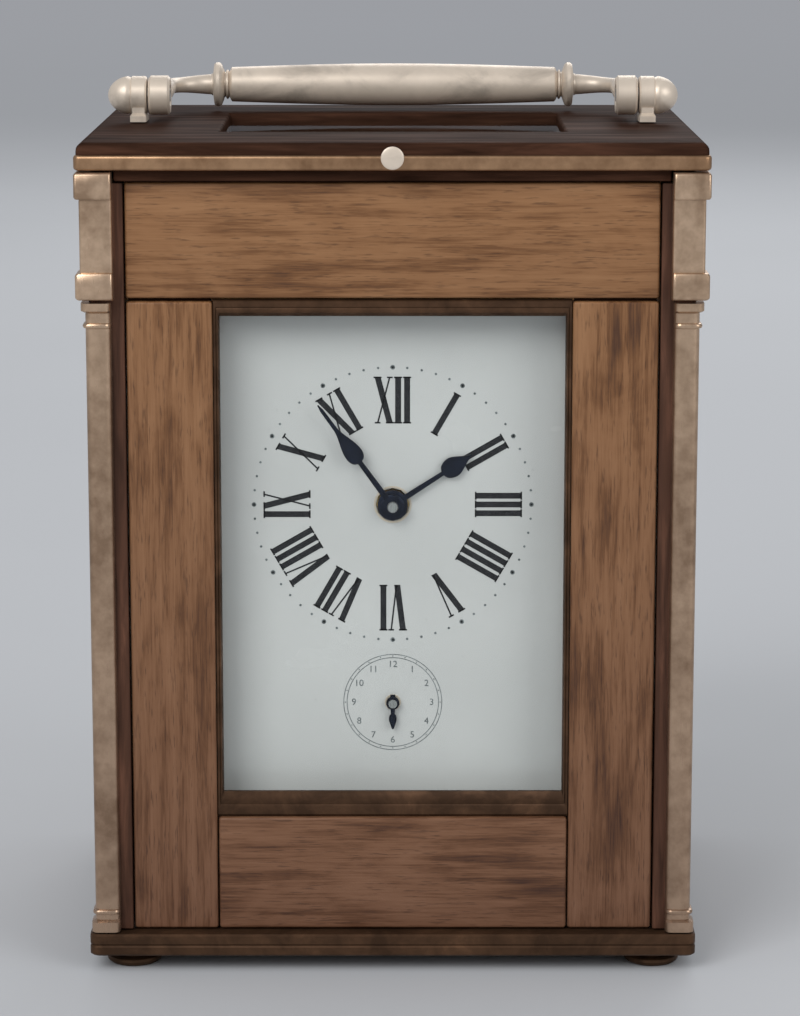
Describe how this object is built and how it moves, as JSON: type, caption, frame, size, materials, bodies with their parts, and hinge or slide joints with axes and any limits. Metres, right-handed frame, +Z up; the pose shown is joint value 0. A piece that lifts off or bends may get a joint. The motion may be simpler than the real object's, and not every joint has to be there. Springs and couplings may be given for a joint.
{
  "type": "carriage clock",
  "caption": "Glazed wood-panelled carriage clock with brass corner columns, folding handle, enamel dial with alarm subdial, repeat button and a spring-driven movement inside",
  "frame": {"origin": "Under the middle of the four feet, on the surface that the clock stands on.", "axes": "+Z up, the dial faces -Y, +X to the right of someone who looks at the dial."},
  "size_m": [0.11, 0.0952, 0.1583],
  "materials": {
    "case_wood": "figured brown wood, satin",
    "case_brass": "rosy brass, satin, slightly tarnished",
    "dark_brass": "dark patinated brass, satin",
    "movement_brass": "grained and lacquered",
    "steel": "brushed",
    "gong_steel": "dark blued wire",
    "blued_steel": "blued, nearly black",
    "dial_enamel": "white enamel, gloss",
    "clear_glass": "clear, bevelled"
  },
  "bodies": {
    "case": {"base_plate": "dark_brass", "foot_front_left": "dark_brass", "foot_front_right": "dark_brass", "foot_rear_left": "dark_brass", "foot_rear_right": "dark_brass", "column_front_left": "case_brass", "column_front_right": "case_brass", "column_rear_left": "case_brass", "column_rear_right": "case_brass", "frieze_front": "case_wood", "frieze_left": "case_wood", "frieze_right": "case_wood", "frieze_rear": "case_wood", "stile_front_left": "case_wood", "stile_front_right": "case_wood", "rail_front_bottom": "case_wood", "side_frame_left": "case_wood", "side_frame_right": "case_wood", "side_glass_left": "clear_glass", "side_glass_right": "clear_glass", "window_bezel": "dark_brass", "front_glass": "clear_glass", "cornice": "case_brass", "top_glass": "clear_glass", "handle_bracket_left": "case_brass", "handle_bracket_right": "case_brass", "front_plate": "movement_brass", "back_plate": "movement_brass", "pillar_lower_left": "movement_brass", "pillar_lower_right": "movement_brass", "pillar_upper_left": "movement_brass", "pillar_upper_right": "movement_brass", "dial": "dial_enamel", "platform": "steel", "balance_cock": "steel", "gong": "gong_steel"},
    "handle": {"handle": "case_brass"},
    "rear_door": {"rear_door": "case_wood", "rear_glass": "clear_glass", "door_knob": "case_brass"},
    "repeat_button": {"repeat_button": "case_brass"},
    "centre_arbor": {"centre_arbor": "movement_brass", "minute_hand": "blued_steel"},
    "hour_wheel": {"hour_wheel": "movement_brass", "hour_hand": "blued_steel"},
    "minute_wheel": {"minute_wheel": "movement_brass"},
    "going_barrel": {"going_barrel": "movement_brass"},
    "third_wheel": {"third_wheel": "movement_brass"},
    "contrate_wheel": {"contrate_wheel": "movement_brass"},
    "escape_wheel": {"escape_wheel": "steel"},
    "pallet_lever": {"pallet_lever": "steel"},
    "balance_wheel": {"balance_wheel": "movement_brass"},
    "regulator": {"regulator": "blued_steel"},
    "strike_barrel": {"strike_barrel": "movement_brass"},
    "winding_arbor_going": {"winding_arbor_going": "steel"},
    "winding_arbor_strike": {"winding_arbor_strike": "steel"},
    "alarm_barrel": {"alarm_barrel": "movement_brass"},
    "alarm_arbor": {"alarm_arbor": "steel", "alarm_hand": "blued_steel"},
    "hammer": {"hammer": "steel"}
  },
  "joints": [
    {"name": "handle_swing", "type": "hinge", "parent": "case", "child": "handle", "pos_m": [0, 0, 0.1541], "axis": [1, 0, 0], "range_deg": [0, 90]},
    {"name": "rear_door_swing", "type": "hinge", "parent": "case", "child": "rear_door", "pos_m": [-0.0421, 0.0395, 0.064], "axis": [0, 0, 1], "range_deg": [0, 100]},
    {"name": "repeat_button_push", "type": "slide", "parent": "case", "child": "repeat_button", "axis": [0, 1, 0], "range_m": [0, 0.002], "stiffness_N_per_m": 400},
    {"name": "centre_arbor_turn", "type": "hinge", "parent": "case", "child": "centre_arbor", "pos_m": [0, 0, 0.0836], "axis": [0, 1, 0], "continuous": true},
    {"name": "hour_wheel_turn", "type": "hinge", "parent": "case", "child": "hour_wheel", "pos_m": [0, 0, 0.0836], "axis": [0, 1, 0], "continuous": true},
    {"name": "minute_wheel_turn", "type": "hinge", "parent": "case", "child": "minute_wheel", "pos_m": [-0.01015, 0, 0.07991], "axis": [0, 1, 0], "continuous": true},
    {"name": "going_barrel_turn", "type": "hinge", "parent": "case", "child": "going_barrel", "pos_m": [0.014, 0, 0.0684], "axis": [0, 1, 0], "continuous": true},
    {"name": "third_wheel_turn", "type": "hinge", "parent": "case", "child": "third_wheel", "pos_m": [-0.009, 0, 0.09671], "axis": [0, 1, 0], "continuous": true},
    {"name": "contrate_wheel_turn", "type": "hinge", "parent": "case", "child": "contrate_wheel", "pos_m": [0, 0, 0.10717], "axis": [0, 1, 0], "continuous": true},
    {"name": "escape_wheel_turn", "type": "hinge", "parent": "case", "child": "escape_wheel", "pos_m": [0, 0.0072, 0.12], "axis": [0, 0, 1], "continuous": true},
    {"name": "pallet_lever_rock", "type": "hinge", "parent": "case", "child": "pallet_lever", "pos_m": [0, 0.0007, 0.128], "axis": [0, 0, 1], "range_deg": [-6, 6]},
    {"name": "balance_swing", "type": "hinge", "parent": "case", "child": "balance_wheel", "pos_m": [0, -0.0078, 0.13], "axis": [0, 0, 1], "range_deg": [-135, 135], "stiffness_Nm_per_rad": 0.0001},
    {"name": "regulator_shift", "type": "hinge", "parent": "case", "child": "regulator", "pos_m": [0, -0.0078, 0.134], "axis": [0, 0, 1], "range_deg": [-25, 25]},
    {"name": "strike_barrel_turn", "type": "hinge", "parent": "case", "child": "strike_barrel", "pos_m": [-0.014, 0, 0.0684], "axis": [0, 1, 0], "continuous": true},
    {"name": "winding_going_turn", "type": "hinge", "parent": "case", "child": "winding_arbor_going", "pos_m": [0.014, 0, 0.0684], "axis": [0, 1, 0], "continuous": true},
    {"name": "winding_strike_turn", "type": "hinge", "parent": "case", "child": "winding_arbor_strike", "pos_m": [-0.014, 0, 0.0684], "axis": [0, 1, 0], "continuous": true},
    {"name": "alarm_winding_turn", "type": "hinge", "parent": "case", "child": "alarm_barrel", "pos_m": [-0.013, 0, 0.03311], "axis": [0, 1, 0], "continuous": true},
    {"name": "alarm_setting_turn", "type": "hinge", "parent": "case", "child": "alarm_arbor", "pos_m": [0, 0, 0.0472], "axis": [0, 1, 0], "continuous": true},
    {"name": "hammer_lift", "type": "hinge", "parent": "case", "child": "hammer", "pos_m": [0.027, 0.022, 0.10411], "axis": [0, 1, 0], "range_deg": [-20, 0], "stiffness_Nm_per_rad": 0.02}
  ],
  "couplings": [
    {"joint": "hour_wheel_turn", "follows": "centre_arbor_turn", "ratio": 0.083333},
    {"joint": "minute_wheel_turn", "follows": "centre_arbor_turn", "ratio": -0.33333},
    {"joint": "going_barrel_turn", "follows": "centre_arbor_turn", "ratio": -0.14815},
    {"joint": "third_wheel_turn", "follows": "centre_arbor_turn", "ratio": -5.625},
    {"joint": "contrate_wheel_turn", "follows": "centre_arbor_turn", "ratio": 37.5}
  ]
}
